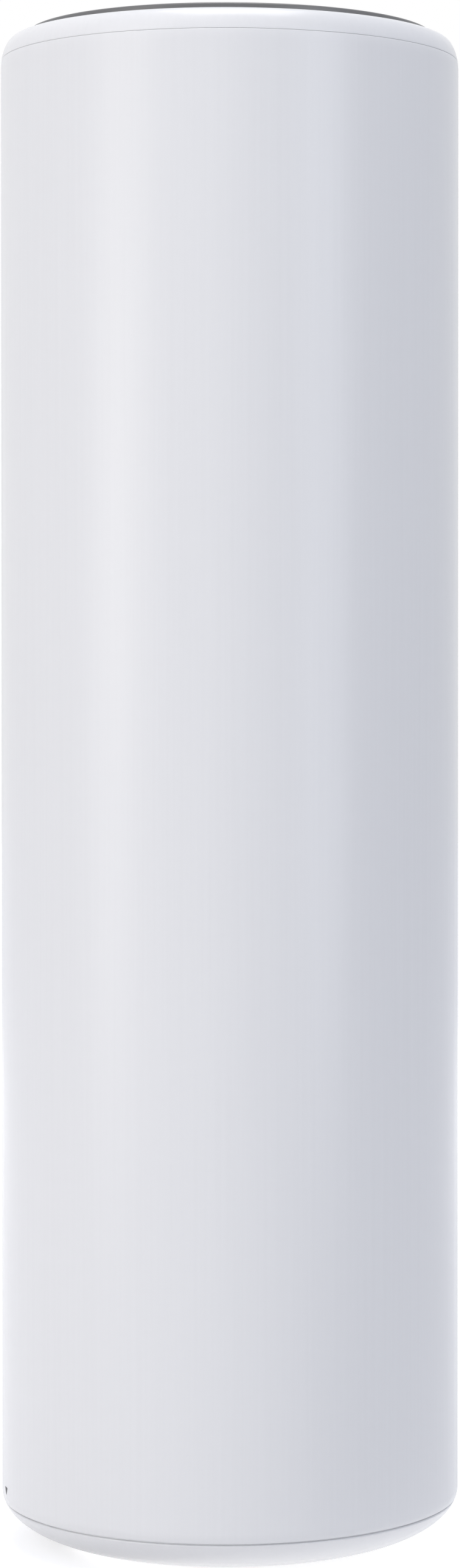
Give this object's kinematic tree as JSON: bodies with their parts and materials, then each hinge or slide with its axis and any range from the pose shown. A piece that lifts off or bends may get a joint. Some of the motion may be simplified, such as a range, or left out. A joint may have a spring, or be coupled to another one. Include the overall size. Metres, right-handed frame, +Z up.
{
  "type": "air purifier",
  "caption": "Upright cylindrical air purifier with a lift-off base, a round filter inside and a dark air outlet grille on top.",
  "frame": {"origin": "on the floor, at the middle of the foot ring", "axes": "+Z up along the cylinder, -Y the plain front, +Y the rear with the air intake and the mains socket"},
  "size_m": [0.2099, 0.21, 0.69],
  "materials": {
    "shell_white": "satin white moulded plastic",
    "top_grey": "satin dark grey moulded plastic",
    "panel_black": "gloss black plastic",
    "button_grey": "satin grey plastic",
    "light_guide": "milky translucent plastic",
    "inner_plastic": "grey moulded plastic",
    "fan_plastic": "dark grey moulded plastic",
    "foot_rubber": "matt rubber",
    "filter_paper": "white pleated paper",
    "filter_mesh": "fine woven mesh",
    "carbon": "black carbon granules in a mesh",
    "cap_plastic": "blue-grey soft moulded plastic",
    "foam": "closed-cell foam",
    "steel": "zinc-plated steel",
    "magnet": "nickel-plated magnet",
    "copper": "enamelled copper wire",
    "board_green": "solder-masked circuit board",
    "component": "black component plastic",
    "lead_sheath": "soft grey lead insulation"
  },
  "bodies": {
    "base": {"base_cover": "shell_white", "foot_ring": "foot_rubber", "base_plate": "inner_plastic", "base_magnets": "magnet", "base_screws": "steel"},
    "tower": {"outer_shell": "shell_white", "lower_frame": "inner_plastic", "striker_plates": "steel", "top_ring": "shell_white", "fan_deck": "inner_plastic", "deck_seal": "foam", "fan_guard": "inner_plastic", "fan_housing": "inner_plastic", "air_duct": "inner_plastic", "electronics_housing": "inner_plastic", "motor_stator": "steel", "motor_windings": "copper", "motor_mount": "steel", "motor_bearings": "steel", "motor_dampers": "foot_rubber", "motor_screws": "steel", "outlet_grille": "top_grey", "control_panel": "panel_black", "light_ring": "light_guide", "control_board": "board_green", "button_switches": "component", "power_board": "board_green", "power_components": "component", "power_inlet": "component", "inlet_pins": "steel", "deck_screws": "steel", "duct_screws": "steel", "top_screws": "steel", "motor_board": "board_green", "board_screws": "steel", "mains_lead": "lead_sheath", "sensor_lead": "lead_sheath", "motor_lead": "lead_sheath", "panel_lead": "lead_sheath", "particle_sensor": "component", "sensor_bracket": "inner_plastic"},
    "filter": {"filter_media": "filter_paper", "carbon_core": "carbon", "prefilter_sleeve": "filter_mesh", "filter_bottom_cap": "cap_plastic", "filter_top_cap": "cap_plastic", "filter_gasket": "foam"},
    "fan": {"impeller": "fan_plastic", "motor_rotor": "steel", "rotor_magnet": "magnet", "motor_shaft": "steel"},
    "power_button": {"power_button": "button_grey"},
    "speed_button": {"speed_button": "button_grey"},
    "mode_button": {"mode_button": "button_grey"},
    "timer_button": {"timer_button": "button_grey"}
  },
  "joints": [
    {"name": "tower_lift", "type": "slide", "parent": "base", "child": "tower", "axis": [0, 0, 1], "range_m": [0, 0.45]},
    {"name": "filter_lift", "type": "slide", "parent": "base", "child": "filter", "axis": [0, 0, 1], "range_m": [0, 0.09]},
    {"name": "fan_spin", "type": "hinge", "parent": "tower", "child": "fan", "pos_m": [0, 0, 0.4], "axis": [0, 0, 1], "continuous": true},
    {"name": "power_press", "type": "slide", "parent": "tower", "child": "power_button", "axis": [0, 0, -1], "range_m": [0, 0.0006], "stiffness_N_per_m": 2000, "springref_m": -0.001},
    {"name": "speed_press", "type": "slide", "parent": "tower", "child": "speed_button", "axis": [0, 0, -1], "range_m": [0, 0.0006], "stiffness_N_per_m": 2000, "springref_m": -0.001},
    {"name": "mode_press", "type": "slide", "parent": "tower", "child": "mode_button", "axis": [0, 0, -1], "range_m": [0, 0.0006], "stiffness_N_per_m": 2000, "springref_m": -0.001},
    {"name": "timer_press", "type": "slide", "parent": "tower", "child": "timer_button", "axis": [0, 0, -1], "range_m": [0, 0.0006], "stiffness_N_per_m": 2000, "springref_m": -0.001}
  ],
  "couplings": [
    {"joint": "filter_lift", "follows": "tower_lift", "ratio": 0.2}
  ]
}
